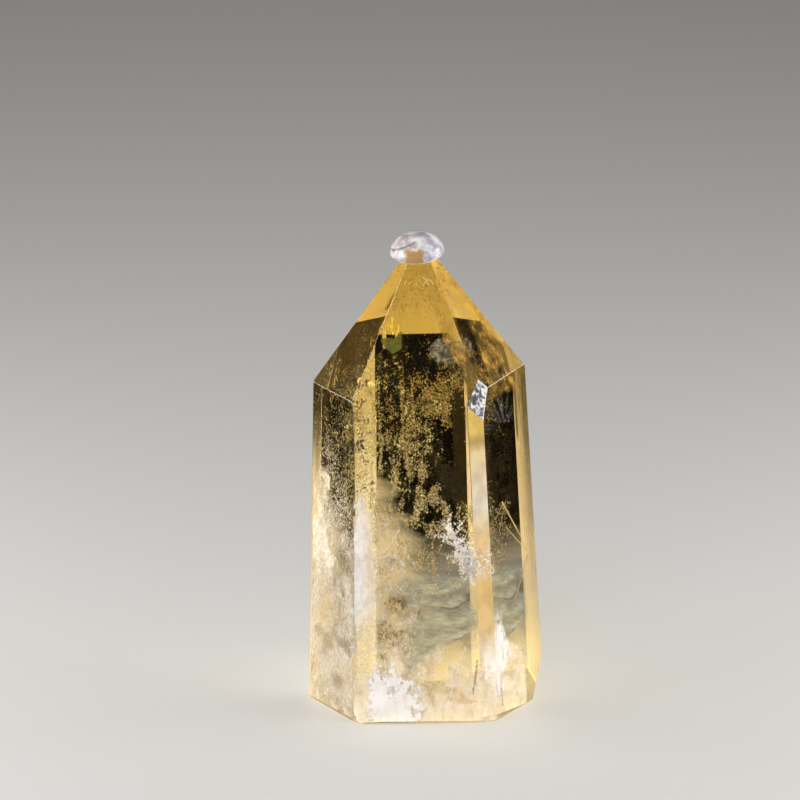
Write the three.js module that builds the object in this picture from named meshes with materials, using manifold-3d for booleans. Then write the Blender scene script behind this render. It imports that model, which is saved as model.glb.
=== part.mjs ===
// A citrine crystal ground and polished to a point, with a small clear bead set over its tip.
// Millimetres, +Z up. The sawn foot stands on z = 0 and the front face looks along -Y.
import * as THREE from 'three';
import { mergeVertices } from 'three/addons/utils/BufferGeometryUtils.js';
import Module from 'manifold-3d';

const wasm = await Module();
wasm.setup();

// The grinding block is any size larger than the crystal.
const blockSize = 120;

// Where the pyramid faces would meet, and the height at which the tip is broken off blunt.
const apex = new THREE.Vector3(-0.82, -0.86, 54.35);
const bluntTipHeight = 53.25;

// Every ground face is given by three numbers. Its turn is the compass angle of its outward
// normal, in degrees from the front towards +X. Its lean is how far the normal tips upward, in
// degrees. Its reach is its distance from the origin, in millimetres.
const sideFaces = {
  frontLeft: { turn: -55.9, lean: 0.6, reach: 12.29 },
  front: { turn: 2.7, lean: 1.7, reach: 10.25 },
  narrowFront: { turn: 18.2, lean: 2.4, reach: 11.47 },
  frontRight: { turn: 56.9, lean: 3.5, reach: 12.05 },
  backRight: { turn: 125.7, lean: 2.5, reach: 10.25 },
  back: { turn: 184, lean: 2, reach: 10.16 },
  backLeft: { turn: 239.1, lean: 1.2, reach: 10.13 },
};

// The faces of the point all pass through the apex, so they need no reach.
const pointFaces = {
  frontLeft: { turn: -54.7, lean: 32.9 },
  front: { turn: 1.7, lean: 25.6 },
  frontRight: { turn: 54, lean: 32.6 },
  backRight: { turn: 121.8, lean: 33.8 },
  back: { turn: 184, lean: 32.3 },
  backLeft: { turn: 242.4, lean: 30.4 },
};

// A flat chip where the narrow face meets the shoulder, a worn corner at the back of the
// shoulder, and two worn corners at the foot.
const shoulderChip = { turn: 27.7, lean: 12.4, reach: 17.76 };
const wornBackShoulder = { turn: 140, lean: 18, reach: 20.14 };
const wornFootRight = { turn: 88, lean: -12, reach: 12.01 };
const wornFootLeft = { turn: -39.4, lean: -8, reach: 12.53 };

// The fine bevel that runs round the edge of the foot.
const footBevel = 0.25;
const footBevelLean = -45;

// The clear bead: a dome above its widest ring and a shallower curve below it.
const beadCentre = new THREE.Vector3(-0.98, -0.86, 52.49);
const beadRadius = 3.03;
const beadDomeHeight = 2.27;
const beadUndersideDepth = 1.2;
const beadTilt = 3.5;
const beadRings = 12;
const beadSegments = 48;

// The clear space between the bead and the crystal inside it.
const pocketGap = 0.3;

function normalOf(face) {
  const turn = THREE.MathUtils.degToRad(face.turn);
  const lean = THREE.MathUtils.degToRad(face.lean);
  const level = Math.cos(lean);
  return new THREE.Vector3(Math.sin(turn) * level, -Math.cos(turn) * level, Math.sin(lean));
}

function toSolid(geometry) {
  const bare = geometry.clone();
  bare.deleteAttribute('normal');
  bare.deleteAttribute('uv');
  const merged = mergeVertices(bare, 1e-5);
  return new wasm.Manifold(new wasm.Mesh({
    numProp: 3,
    vertProperties: new Float32Array(merged.attributes.position.array),
    triVerts: new Uint32Array(merged.index.array),
  }));
}

function toGeometry(solid) {
  const mesh = solid.getMesh();
  const geometry = new THREE.BufferGeometry();
  geometry.setAttribute('position', new THREE.BufferAttribute(mesh.vertProperties, 3));
  geometry.setIndex(new THREE.BufferAttribute(mesh.triVerts, 1));
  return geometry;
}

// Takes away everything beyond one flat face, as a grinding wheel does.
function grind(solid, normal, reach) {
  const waste = new THREE.BoxGeometry(blockSize, blockSize, blockSize);
  waste.translate(0, 0, reach + blockSize / 2);
  waste.applyQuaternion(new THREE.Quaternion().setFromUnitVectors(new THREE.Vector3(0, 0, 1), normal));
  return solid.subtract(toSolid(waste));
}

function roughBlock() {
  const rough = new THREE.BoxGeometry(blockSize / 2, blockSize / 2, bluntTipHeight);
  rough.translate(0, 0, bluntTipHeight / 2);
  return toSolid(rough);
}

// The point of the crystal, moved outward on every face by the given gap.
function grindPoint(solid, gap) {
  let point = solid;
  for (const face of Object.values(pointFaces)) {
    const normal = normalOf(face);
    point = grind(point, normal, normal.dot(apex) + gap);
  }
  return point;
}

// The bevel of one side face: a sloping cut that starts its own width above the foot.
function bevelFoot(solid, face) {
  const side = normalOf(face);
  const bevel = normalOf({ turn: face.turn, lean: footBevelLean });
  const level = Math.hypot(side.x, side.y);
  const edgeRadius = (face.reach - side.z * footBevel) / level;
  const edge = new THREE.Vector3(side.x, side.y, 0).setLength(edgeRadius).setZ(footBevel);
  return grind(solid, bevel, bevel.dot(edge));
}

function crystalSolid() {
  let crystal = roughBlock();
  for (const face of Object.values(sideFaces)) {
    crystal = grind(crystal, normalOf(face), face.reach);
  }
  crystal = grindPoint(crystal, 0);
  for (const wear of [shoulderChip, wornBackShoulder, wornFootRight, wornFootLeft]) {
    crystal = grind(crystal, normalOf(wear), wear.reach);
  }
  for (const face of [...Object.values(sideFaces), wornFootRight, wornFootLeft]) {
    crystal = bevelFoot(crystal, face);
  }
  return crystal;
}

// Half of the bead's outline, from the bottom of the axis out round the rim to the top.
function beadOutline() {
  const outline = [];
  for (let step = 0; step <= 2 * beadRings; step += 1) {
    const angle = (Math.PI / 2) * (step / beadRings - 1);
    const height = angle < 0 ? beadUndersideDepth : beadDomeHeight;
    const onAxis = step === 0 || step === 2 * beadRings;
    const radius = onAxis ? 0 : beadRadius * Math.cos(angle);
    outline.push(new THREE.Vector2(radius, height * Math.sin(angle)));
  }
  return outline;
}

function beadSolid() {
  const drop = new THREE.LatheGeometry(beadOutline(), beadSegments);
  drop.rotateX(Math.PI / 2);
  drop.rotateY(THREE.MathUtils.degToRad(-beadTilt));
  drop.translate(beadCentre.x, beadCentre.y, beadCentre.z);
  const pocket = new THREE.BoxGeometry(blockSize / 2, blockSize / 2, bluntTipHeight + pocketGap);
  pocket.translate(0, 0, (bluntTipHeight + pocketGap) / 2);
  return toSolid(drop).subtract(grindPoint(toSolid(pocket), pocketGap));
}

function namedMesh(name, solid, material) {
  const mesh = new THREE.Mesh(toGeometry(solid), material);
  mesh.name = name;
  return mesh;
}

const citrine = new THREE.MeshStandardMaterial({ color: 0xd9b45a, roughness: 0.08, metalness: 0 });
const clearResin = new THREE.MeshStandardMaterial({ color: 0xe9eaee, roughness: 0.12, metalness: 0 });

const specimen = new THREE.Group();
specimen.add(namedMesh('crystal', crystalSolid(), citrine));
specimen.add(namedMesh('tip_bead', beadSolid(), clearResin));

export default specimen;
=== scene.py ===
import bpy
import bmesh
import math
import numpy as np
from mathutils import Matrix, Vector, noise


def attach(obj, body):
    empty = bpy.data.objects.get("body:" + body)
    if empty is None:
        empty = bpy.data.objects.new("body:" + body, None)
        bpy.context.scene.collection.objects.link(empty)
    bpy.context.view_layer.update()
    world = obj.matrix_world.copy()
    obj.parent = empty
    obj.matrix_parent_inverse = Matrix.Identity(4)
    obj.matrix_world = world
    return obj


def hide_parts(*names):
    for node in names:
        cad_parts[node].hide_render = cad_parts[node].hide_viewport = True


# Polished citrine point with a milky bead on its tip. Metres, +Z up, front face towards -Y.
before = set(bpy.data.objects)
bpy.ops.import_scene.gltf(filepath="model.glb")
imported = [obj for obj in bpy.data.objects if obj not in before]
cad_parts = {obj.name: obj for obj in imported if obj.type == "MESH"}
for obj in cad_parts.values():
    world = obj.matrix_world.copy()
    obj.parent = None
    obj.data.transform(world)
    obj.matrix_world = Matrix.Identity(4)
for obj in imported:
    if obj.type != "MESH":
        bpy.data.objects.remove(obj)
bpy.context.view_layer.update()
mm = 0.001


def toLinear(hexColour):
    channels = [int(hexColour[i:i + 2], 16) / 255 for i in (1, 3, 5)]
    linear = [c / 12.92 if c <= 0.04045 else ((c + 0.055) / 1.055) ** 2.4 for c in channels]
    return (*linear, 1.0)


def addNode(tree, kind, settings=None, links=None):
    node = tree.nodes.new(kind)
    for name, value in (settings or {}).items():
        if isinstance(name, int) or name in node.inputs:
            node.inputs[name].default_value = value
        else:
            setattr(node, name, value)
    for name, source in (links or {}).items():
        if isinstance(source, bpy.types.Node):  # a node stands for its first live output
            source = next(socket for socket in source.outputs if socket.enabled)
        tree.links.new(source, node.inputs[name])
    return node


def newMaterial(name):
    material = bpy.data.materials.new(name)
    material.use_nodes = True
    material.node_tree.nodes.clear()
    return material, material.node_tree


def setStops(ramp, stops):
    elements = ramp.color_ramp.elements
    while len(elements) > 1:
        elements.remove(elements[-1])
    elements[0].position, elements[0].color = stops[0][0], toLinear(stops[0][1])
    for place, colour in stops[1:]:
        elements.new(place).color = toLinear(colour)
    return ramp


def fromTo(ends):
    # the sockets of a Map Range: the two values read, then the two values given, or else 0 and 1
    return dict(enumerate(ends, start=1))


def inMillimetres(tree, stretch=(1, 1, 1), turn=(0, 0, 0)):
    place = addNode(tree, "ShaderNodeTexCoord")
    scale = [s / mm for s in stretch]
    return addNode(tree, "ShaderNodeMapping", {"Rotation": turn, "Scale": scale}, {
        "Vector": place.outputs["Object"]})


def passShadows(tree, glass):
    # light that only makes shadows goes straight through a clear piece
    path = addNode(tree, "ShaderNodeLightPath")
    letThrough = addNode(tree, "ShaderNodeBsdfTransparent", {"Color": (1, 1, 1, 1)})
    return addNode(tree, "ShaderNodeMixShader", {}, {
        0: path.outputs["Is Shadow Ray"], 1: glass, 2: letThrough})


def finishMesh(name, form, smoothed=False):
    mesh = bpy.data.meshes.new(name)
    form.to_mesh(mesh)
    form.free()
    if smoothed:
        mesh.shade_smooth()
    return mesh


def addObject(name, data):
    item = bpy.data.objects.new(name, data)
    bpy.context.scene.collection.objects.link(item)
    return item


def addPiece(name, mesh, material, slotName, *replaced):
    piece = addObject(name, mesh)
    mesh.materials.append(material)
    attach(piece, "root")
    if replaced:
        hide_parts(*replaced)
    print(name, "made,", len(mesh.polygons), "faces")


# camera: a long macro lens half a metre away, looking down at 18 degrees
camera = {"distance": 500, "elevation": 18.0, "aim": (-2.87, 0, 34.94), "lens": 200.9, "sensor": 36,
          "clip": (0.01, 20)}


def makeCamera():
    data = bpy.data.cameras.new("camera")
    data.lens, data.sensor_width = camera["lens"], camera["sensor"]
    data.clip_start, data.clip_end = camera["clip"]
    item = addObject("camera", data)
    tilt = math.radians(camera["elevation"])
    back = Vector((0, -math.cos(tilt), math.sin(tilt))) * camera["distance"] * mm
    item.location = Vector(camera["aim"]) * mm + back
    item.rotation_euler = (math.pi / 2 - tilt, 0, 0)
    bpy.context.scene.camera = item
    print("camera set,", camera["distance"], "mm away")


makeCamera()


# crystal: glassy polish on the faces that show, a finer satin left on the two rear sides, the
# narrow front face (its ribbon) and the sawn foot, and milky healed cracks just under the back
crystal = {
    "ior": 1.544, "absorb": "#f4e000", "density": 14, "frostRoughness": 0.45, "edgeWear": 0.05,
    "chipRim": 0.16, "chipSteps": 0.12, "chipCuts": 7, "chipGrain": 2600,  # grain for each metre
    "finishes": (  # the turns of the faces from the front, then their leans, in degrees
        ("sawn", -181, 181, -91, -30), ("satin", 98, 145, -9, 9), ("satin", -145, -98, -9, 9),
        ("veiled", 165, 181, -9, 9), ("veiled", -181, -165, -9, 9), ("ribbon", 8, 24, -9, 9),
        ("chipped", 24, 32, 10, 15), ("satin", 136, 144, 14, 22))}

# frost on it. limits: an axis, two places on it in mm and how much there is at each, or else 0 and 1
frost = {
    "limits": {
        "level": ("Z", 0.0, 52.0), "rightSide": ("X", -1.0, 1.0), "leftCorner": ("X", -9.0, -11.0, 0.0, 0.5),
        "ribbonFoot": ("Z", 6.5, 11.0, 0.1, 0.96), "bandFoot": ("Z", 2.5, 5.0),
        "glow": ("Z", 6.0, 3.0, 0.0, 0.6), "breakTop": ("Z", 21.2, 19.6), "breakFoot": ("Z", 16.6, 18.0),
        "stainNear": ("Y", 6.2, 7.3), "stainLean": ("Z", 33.0, 36.0, 0.0, -3.0),
        "stainTop": ("Z", 38.2, 37.0), "stainFoot": ("Z", 27.0, 29.5)},
    "streakSize": (1.3, 1.3, 0.16), "streakSway": 16.0, "streakFrost": (0.3, 0.7, 0.6, 0.95),
    "leftFade": (42.0, 31.0, 0.06, 1.0), "rightFade": (40.0, 24.0, 0.3, 0.9),
    "stainFar": (9.1, 8.8), "stainFrost": 1.6,
    "bandSize": (0.1, 0.15, 0.55), "bandTurn": 8, "bandSway": 10.0, "bandWave": (0.36, 0.6, 0.15, 0.65),
    "bandTop": (23.0, 18.0), "bandShare": (0.0, 0.3), "milkSlope": 1.85, "milk": (21.5, 14.5, 0.0, 0.8),
    "sawn": 0.85, "chipped": 0.9, "chipSize": (1.9, 1.9, 1.5), "blotchSize": (0.9, 0.9, 0.5),
    "blotch": (0.42, 0.62, 0.0, 0.3), "breakSize": (3.0, 3.0, 3.0), "break": (0.5, 0.56)}

# its colours: golden high up, cream low down, bluish in the bands, and on the chip a painted bluish
# reflection of a light with a painted white highlight on its rim
frostTones = {
    "stain": "#5a4a28", "blotch": "#b88a3e", "white": "#ffffff", "band": "#a9b6de", "sawn": "#eddcaa",
    # chip: a painted reflection of a light, dark navy mottled with white
    "chip": [(0.42, "#15172c"), (0.5, "#4d5170"), (0.56, "#b9bdd8"), (0.62, "#ffffff")],
    "cream": [(0.0, "#fff6e8"), (0.4, "#fbeedd"), (0.6, "#f3dfb8"), (0.8, "#e9cf98")],
    "tan": [(0.1, "#f0d9a8"), (0.35, "#d8b070"), (0.55, "#c29650"), (0.8, "#b08338")],
    "ribbon": [
        (0.12, "#ffeac0"), (0.2, "#ffd890"), (0.38, "#ffcf74"), (0.46, "#ffeabc"), (0.49, "#fff4e2"),
        (0.54, "#ffecca"), (0.61, "#ffe4a8"), (0.635, "#cfa858"), (0.655, "#ffd66a"), (0.95, "#f0c048")],
    "zone": [(0.35, "#ffffff"), (0.65, "#fff3cf"), (0.85, "#fbdc83")]}


def markFinishes(form):
    names = ("satin", "ribbon", "veiled", "sawn", "chipped")
    layers = {name: form.faces.layers.float.new(name) for name in names}
    for face in form.faces:
        turn = math.degrees(math.atan2(face.normal.x, -face.normal.y))
        lean = math.degrees(math.asin(max(-1, min(1, face.normal.z))))
        for name, lowTurn, highTurn, lowLean, highLean in crystal["finishes"]:
            if lowTurn < turn < highTurn and lowLean < lean < highLean:
                face[layers[name]] = 1
                break


def rearStain(tree, place, limits):
    # a brown stain that runs up the rear right corner
    far = addNode(tree, "ShaderNodeMath", {"operation": "ADD"}, {
        0: place.outputs["Y"], 1: limits["stainLean"]})
    far = addNode(tree, "ShaderNodeMapRange", fromTo(frost["stainFar"]), {0: far})
    ends = addNode(tree, "ShaderNodeMath", {"operation": "MULTIPLY"}, {
        0: limits["stainTop"], 1: limits["stainFoot"]})
    stain = addNode(tree, "ShaderNodeMath", {"operation": "MULTIPLY"}, {0: limits["stainNear"], 1: far})
    return addNode(tree, "ShaderNodeMath", {"operation": "MULTIPLY"}, {0: stain, 1: ends})


def rearSatin(tree, place, limits, mask, stain):
    # satin low down with upright polishing streaks, which clears towards the shoulder
    streaks = addNode(tree, "ShaderNodeTexNoise", {"Scale": 1.0, "Detail": 5.0, "Roughness": 0.62}, {
        "Vector": inMillimetres(tree, frost["streakSize"])})
    height = addNode(tree, "ShaderNodeMath", {"operation": "MULTIPLY_ADD", 1: frost["streakSway"]}, {
        0: streaks, 2: place.outputs["Z"]})
    left = addNode(tree, "ShaderNodeMapRange", fromTo(frost["leftFade"]), {0: height})
    right = addNode(tree, "ShaderNodeMapRange", fromTo(frost["rightFade"]), {0: height})
    right = addNode(tree, "ShaderNodeMix", {"data_type": "FLOAT", 3: frost["stainFrost"]}, {
        0: stain, 2: right})
    fade = addNode(tree, "ShaderNodeMix", {"data_type": "FLOAT"}, {0: limits["rightSide"], 2: left, 3: right})
    satin = addNode(tree, "ShaderNodeMapRange", fromTo(frost["streakFrost"]), {0: streaks})
    satin = addNode(tree, "ShaderNodeMath", {"operation": "ADD"}, {0: satin, 1: limits["leftCorner"]})
    satin = addNode(tree, "ShaderNodeMath", {"operation": "MULTIPLY", "use_clamp": True}, {
        0: satin, 1: fade})
    return addNode(tree, "ShaderNodeMath", {"operation": "MULTIPLY"}, {0: satin, 1: mask["satin"]})


def backVeil(tree, place, limits, mask):
    # a milky veil low on the left, blue-grey wavy bands low on the right, a glow above the foot
    turn = (0, math.radians(frost["bandTurn"]), 0)
    bands = addNode(tree, "ShaderNodeTexNoise", {"Scale": 1.0, "Detail": 2.5, "Distortion": 0.2}, {
        "Vector": inMillimetres(tree, frost["bandSize"], turn)})
    height = addNode(tree, "ShaderNodeMath", {"operation": "MULTIPLY_ADD", 1: frost["bandSway"]}, {
        0: bands, 2: place.outputs["Z"]})
    milk = addNode(tree, "ShaderNodeMath", {"operation": "MULTIPLY_ADD", 1: frost["milkSlope"]}, {
        0: place.outputs["X"], 2: height})
    milk = addNode(tree, "ShaderNodeMapRange", fromTo(frost["milk"]), {0: milk})
    wave = addNode(tree, "ShaderNodeMapRange", fromTo(frost["bandWave"]), {0: bands})
    ends = addNode(tree, "ShaderNodeMapRange", fromTo(frost["bandTop"]), {0: height})
    ends = addNode(tree, "ShaderNodeMath", {"operation": "MULTIPLY"}, {0: ends, 1: limits["bandFoot"]})
    band = addNode(tree, "ShaderNodeMath", {"operation": "MULTIPLY"}, {0: wave, 1: ends})
    veil = addNode(tree, "ShaderNodeMath", {"operation": "MAXIMUM"}, {0: milk, 1: band})
    veil = addNode(tree, "ShaderNodeMath", {"operation": "MAXIMUM"}, {0: veil, 1: limits["glow"]})
    veil = addNode(tree, "ShaderNodeMath", {"operation": "MULTIPLY"}, {0: veil, 1: mask["veiled"]})
    share = addNode(tree, "ShaderNodeMath", {"operation": "SUBTRACT"}, {0: band, 1: milk})
    share = addNode(tree, "ShaderNodeMapRange", fromTo(frost["bandShare"]), {0: share})
    share = addNode(tree, "ShaderNodeMath", {"operation": "MULTIPLY"}, {0: share, 1: mask["veiled"]})
    return veil, share


def ribbonTones(tree, limits):
    # golden, with tan blotches, and white where the feather crack breaks through
    tone = setStops(addNode(tree, "ShaderNodeValToRGB", {}, {0: limits["level"]}), frostTones["ribbon"])
    blotch = addNode(tree, "ShaderNodeTexNoise", {"Scale": 1.0, "Detail": 4.0}, {
        "Vector": inMillimetres(tree, frost["blotchSize"])})
    blotch = addNode(tree, "ShaderNodeMapRange", fromTo(frost["blotch"]), {0: blotch})
    tone = addNode(tree, "ShaderNodeMix", {"data_type": "RGBA", 7: toLinear(frostTones["blotch"])}, {
        0: blotch, 6: tone})
    white = addNode(tree, "ShaderNodeTexNoise", {"Scale": 1.0, "Detail": 3.0, "Distortion": 1.0}, {
        "Vector": inMillimetres(tree, frost["breakSize"])})
    white = addNode(tree, "ShaderNodeMapRange", fromTo(frost["break"]), {0: white})
    for end in ("breakTop", "breakFoot"):
        white = addNode(tree, "ShaderNodeMath", {"operation": "MULTIPLY"}, {0: white, 1: limits[end]})
    return addNode(tree, "ShaderNodeMix", {"data_type": "RGBA", 7: toLinear(frostTones["white"])}, {
        0: white, 6: tone})


def frostPattern(tree):
    mask = {name: addNode(tree, "ShaderNodeAttribute", {"attribute_name": name}).outputs["Fac"]
            for name in ("satin", "ribbon", "veiled", "sawn", "chipped", "rim")}
    place = addNode(tree, "ShaderNodeSeparateXYZ", {}, {0: inMillimetres(tree)})
    limits = {name: addNode(tree, "ShaderNodeMapRange", fromTo(ends), {0: place.outputs[axis]})
              for name, (axis, *ends) in frost["limits"].items()}
    stain = rearStain(tree, place, limits)
    total = rearSatin(tree, place, limits, mask, stain)
    veil, bandShare = backVeil(tree, place, limits, mask)
    ribbon = addNode(tree, "ShaderNodeMath", {"operation": "MULTIPLY"}, {
        0: mask["ribbon"], 1: limits["ribbonFoot"]})
    for part in (ribbon, veil):
        total = addNode(tree, "ShaderNodeMath", {"operation": "MAXIMUM"}, {0: total, 1: part})
    for name in ("sawn", "chipped"):
        part = addNode(tree, "ShaderNodeMath", {"operation": "MULTIPLY", 1: frost[name]}, {0: mask[name]})
        total = addNode(tree, "ShaderNodeMath", {"operation": "MAXIMUM"}, {0: total, 1: part})

    # the chip: a painted reflection of a light as navy to white mottling, and a painted white highlight on
    # the upper right of its rim
    chipReflectionTone = addNode(tree, "ShaderNodeTexNoise", {"Scale": 1.0, "Detail": 4.0, "Distortion": 0.8}, {
        "Vector": inMillimetres(tree, frost["chipSize"])})
    chipReflectionTone = setStops(addNode(tree, "ShaderNodeValToRGB", {}, {0: chipReflectionTone}), frostTones["chip"])
    chipReflectionTone = addNode(tree, "ShaderNodeMix", {"data_type": "RGBA", 7: toLinear(frostTones["white"])}, {
        0: mask["rim"], 6: chipReflectionTone})
    # zone: the iron colour gathers towards the tip, and the foot is almost white
    cream, tan, zone = (
        setStops(addNode(tree, "ShaderNodeValToRGB", {}, {0: limits["level"]}), frostTones[name])
        for name in ("cream", "tan", "zone"))
    tan = addNode(tree, "ShaderNodeMix", {"data_type": "RGBA", 7: toLinear(frostTones["stain"])}, {
        0: stain, 6: tan})
    tanSide = addNode(tree, "ShaderNodeMath", {"operation": "MULTIPLY"}, {
        0: limits["rightSide"], 1: mask["satin"]})
    tone = addNode(tree, "ShaderNodeMix", {"data_type": "RGBA"}, {0: tanSide, 6: cream, 7: tan})
    tone = addNode(tree, "ShaderNodeMix", {"data_type": "RGBA"}, {
        0: mask["ribbon"], 6: tone, 7: ribbonTones(tree, limits)})
    tone = addNode(tree, "ShaderNodeMix", {"data_type": "RGBA", 7: toLinear(frostTones["band"])}, {
        0: bandShare, 6: tone})
    tone = addNode(tree, "ShaderNodeMix", {"data_type": "RGBA"}, {0: mask["chipped"], 6: tone, 7: chipReflectionTone})
    tone = addNode(tree, "ShaderNodeMix", {"data_type": "RGBA", 7: toLinear(frostTones["sawn"])}, {
        0: mask["sawn"], 6: tone})
    return total, tone, zone


def citrineQuartz():
    # clear quartz coloured by iron: IOR 1.544 and a honey tint that deepens with the light's way
    material, tree = newMaterial("polished citrine quartz")
    amount, tone, zone = frostPattern(tree)
    clear = addNode(tree, "ShaderNodeMath", {"operation": "SUBTRACT", 0: 1.0}, {1: amount})
    rough = addNode(tree, "ShaderNodeMath", {"operation": "MULTIPLY", 1: crystal["frostRoughness"]}, {
        0: amount})
    surface = addNode(tree, "ShaderNodeMix", {"data_type": "RGBA"}, {0: amount, 6: zone, 7: tone})
    glass = addNode(tree, "ShaderNodeBsdfPrincipled", {"IOR": crystal["ior"]}, {
        "Base Color": surface, "Roughness": rough, "Transmission Weight": clear})
    tint = addNode(tree, "ShaderNodeVolumeAbsorption", {
        "Color": toLinear(crystal["absorb"]), "Density": crystal["density"]})
    addNode(tree, "ShaderNodeOutputMaterial", {}, {"Surface": passShadows(tree, glass), "Volume": tint})
    return material


def roughenChip(form):
    # the chip is a broken surface: a rim whose upper right carries a painted white highlight, and small steps
    # inside
    chippedLayer, rimLayer = form.faces.layers.float["chipped"], form.faces.layers.float.new("rim")
    chip = max((f for f in form.faces if f[chippedLayer] > 0.5), key=lambda f: f.calc_area())
    middle, outward = chip.calc_center_median(), chip.normal.copy()
    ring = bmesh.ops.inset_individual(form, faces=[chip], thickness=crystal["chipRim"] * mm)["faces"]
    for face in ring:
        way = face.calc_center_median() - middle
        face[rimLayer] = 1 if way.x > 0.2 * mm or way.z > 1.6 * mm else 0
    spokes = bmesh.ops.poke(form, faces=[chip])["faces"]
    edges = list(dict.fromkeys(edge for face in spokes for edge in face.edges))  # each once, in order
    bmesh.ops.subdivide_edges(form, edges=edges, cuts=crystal["chipCuts"], use_grid_fill=True)
    for vert in form.verts:
        inner = all(f[chippedLayer] > 0.5 and f[rimLayer] < 0.5 and f.normal.dot(outward) > 0.999
                    for f in vert.link_faces)
        if inner and (vert.co - middle).length < 3 * mm:
            step = noise.noise(vert.co * crystal["chipGrain"]) - 0.4
            vert.co += outward * crystal["chipSteps"] * mm * step


def crystalBody():
    form = bmesh.new()
    form.from_mesh(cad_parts["crystal"].data)
    bmesh.ops.remove_doubles(form, verts=form.verts, dist=1e-6)
    bmesh.ops.dissolve_limit(form, angle_limit=math.radians(0.5), verts=form.verts, edges=form.edges)
    markFinishes(form)
    bmesh.ops.bevel(form, geom=form.edges[:], offset=crystal["edgeWear"] * mm, affect="EDGES", segments=2,
                    profile=0.5, material=-1, clamp_overlap=True)
    roughenChip(form)
    addPiece("crystal_body", finishMesh("crystal_body", form), citrineQuartz(), "citrine", "crystal")


crystalBody()
crystalFaces = [(p.center / mm, p.normal.copy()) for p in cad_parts["crystal"].data.polygons]


def insideCrystal(spot, margin=0.25):
    return all(normal.dot(spot - centre) < -margin for centre, normal in crystalFaces)


# flecks: the healed cracks and dust inside the crystal, thousands of small flat shards
def shards(spots, sizes, stretch, flatness, rng):
    count = len(spots)
    angle = rng.uniform(0, 2 * np.pi, (count, 1)) + np.array([0, 2.1, 4.2]) + rng.normal(0, 0.3, (count, 3))
    reach = rng.uniform(0.6, 1.0, (count, 3)) * sizes[:, None] / 2
    local = np.zeros((count, 4, 3))
    local[:, :3, 0] = np.cos(angle) * reach
    local[:, :3, 1] = np.sin(angle) * reach
    local[:, 3, 2] = sizes * flatness
    local[:, :3, 2] -= (sizes * flatness / 4)[:, None]
    turns = rng.normal(size=(count, 4))
    turns /= np.linalg.norm(turns, axis=1)[:, None]
    w, x, y, z = turns.T
    spin = np.stack([
        1 - 2 * (y * y + z * z), 2 * (x * y - z * w), 2 * (x * z + y * w),
        2 * (x * y + z * w), 1 - 2 * (x * x + z * z), 2 * (y * z - x * w),
        2 * (x * z - y * w), 2 * (y * z + x * w), 1 - 2 * (x * x + y * y)], axis=1).reshape(-1, 3, 3)
    corners = np.einsum("nij,nkj->nki", spin, local) * np.array(stretch)
    corners += spots[:, None, :]
    base = np.arange(count)[:, None] * 4
    faces = np.concatenate([base + np.array(f) for f in ((0, 2, 1), (0, 1, 3), (1, 2, 3), (2, 0, 3))])
    return corners.reshape(-1, 3), faces


def fleckMesh(name, parts):
    mesh = bpy.data.meshes.new(name)
    start, points, faces = 0, [], []
    for corners, triangles in parts:
        points.append(corners * mm)
        faces.append(triangles + start)
        start += len(corners)
    points, faces = np.concatenate(points), np.concatenate(faces)
    mesh.from_pydata(points.tolist(), [], faces.tolist())
    mesh.update()
    return mesh


def keepDense(spots, density, rng):
    chance = np.array([density(Vector(s)) for s in spots])
    return spots[rng.random(len(spots)) < chance]


def smooth(value, low, high):
    share = min(1, max(0, (value - low) / (high - low)))
    return share * share * (3 - 2 * share)


def clumps(across, depth, height, seed):
    return noise.fractal(Vector((across, depth + 7 * seed, height)), 0.75, 2.0, 5)


goldenHeights = (24.0, 38.0)  # mm up the crystal, between which the flecks turn golden


def fleckMaterial(name, stops, grain, gold="#ffffff"):
    # fluid-filled specks and flakes scatter the light, each by another amount, more golden high up
    material, tree = newMaterial(name)
    speck = addNode(tree, "ShaderNodeTexNoise", {"Scale": 1.0, "Detail": 2.0}, {
        "Vector": inMillimetres(tree, (grain, grain, grain))})
    tone = setStops(addNode(tree, "ShaderNodeValToRGB", {}, {0: speck}), stops)
    place = addNode(tree, "ShaderNodeSeparateXYZ", {}, {0: inMillimetres(tree)})
    level = addNode(tree, "ShaderNodeMapRange", fromTo(goldenHeights), {0: place.outputs["Z"]})
    tone = addNode(tree, "ShaderNodeMix", {
        "data_type": "RGBA", "blend_type": "MULTIPLY", 7: toLinear(gold)}, {0: level, 6: tone})
    flake = addNode(tree, "ShaderNodeBsdfPrincipled", {"Roughness": 0.4}, {"Base Color": tone})
    addNode(tree, "ShaderNodeOutputMaterial", {}, {"Surface": flake})
    return material


goldenDust = fleckMaterial("golden dust in healed cracks", [
    (0.32, "#3d2f18"), (0.45, "#94805a"), (0.56, "#cbb993"), (0.68, "#fff6e2")], 3.5, "#dcca66")
milkyDust = fleckMaterial("milky dust in healed cracks", [
    (0.3, "#a59e92"), (0.5, "#e6e0d8"), (0.65, "#ffffff")], 1.5, "#b8964a")
whiteFracture = fleckMaterial("white fresh fracture", [
    (0.3, "#cfc9c6"), (0.5, "#f2eeee"), (0.65, "#ffffff")], 1.2)
darkFracture = fleckMaterial("dark iron stain in cracks", [(0.3, "#1a130a"), (0.7, "#3a2a16")], 1.0)


# dust veil: the speckled veils behind the front face, golden high up and milky low down
dustVeil = {
    "tries": 120000, "low": (-6.4, -5.0, 8.0), "high": (5.2, 5.0, 43.5), "sizes": (0.06, 0.2),
    "shares": [0.7, 1.0, 1.0, 1.7], "seed": 5,
    "frontSlope": 0.235}  # light seen through the upright faces sinks this much for each mm inside


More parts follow.
